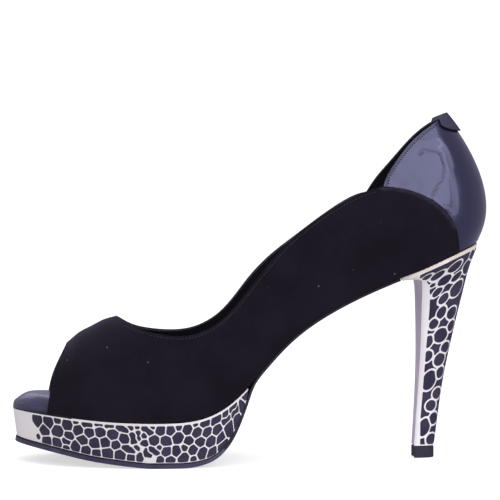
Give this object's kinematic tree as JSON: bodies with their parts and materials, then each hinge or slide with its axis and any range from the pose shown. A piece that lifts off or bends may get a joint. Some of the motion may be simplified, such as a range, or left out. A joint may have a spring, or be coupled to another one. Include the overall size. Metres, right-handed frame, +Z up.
{
  "type": "open-toe platform court shoe",
  "caption": "High-heeled open-toe court shoe with a scalloped suede upper, patent back counter, cell-patterned covered platform and tapered heel, and a thin leather outsole.",
  "frame": {"origin": "on the floor, at the middle of the flat tread under the ball of the foot", "axes": "+X from the toe to the heel, -Y to the outer (lateral) side of this left shoe and +Y to its inner side, +Z up"},
  "size_m": [0.2229, 0.0782, 0.1627],
  "materials": {
    "suede": "matt napped suede, near black with a slight violet cast",
    "patent": "patent, high gloss clear coat over near black",
    "insole_leather": "smooth, soft sheen, near black",
    "foil_wrap": "pale silver foil leather with flush near-black cells",
    "sole_leather": "satin, edge dyed near black",
    "tip_rubber": "hard satin, near black"
  },
  "bodies": {
    "root": {"upper": "suede", "patent_counter": "patent", "back_tab": "suede", "insole": "insole_leather", "platform": "foil_wrap", "outsole": "sole_leather", "heel": "foil_wrap", "top_piece": "tip_rubber"}
  },
  "joints": []
}
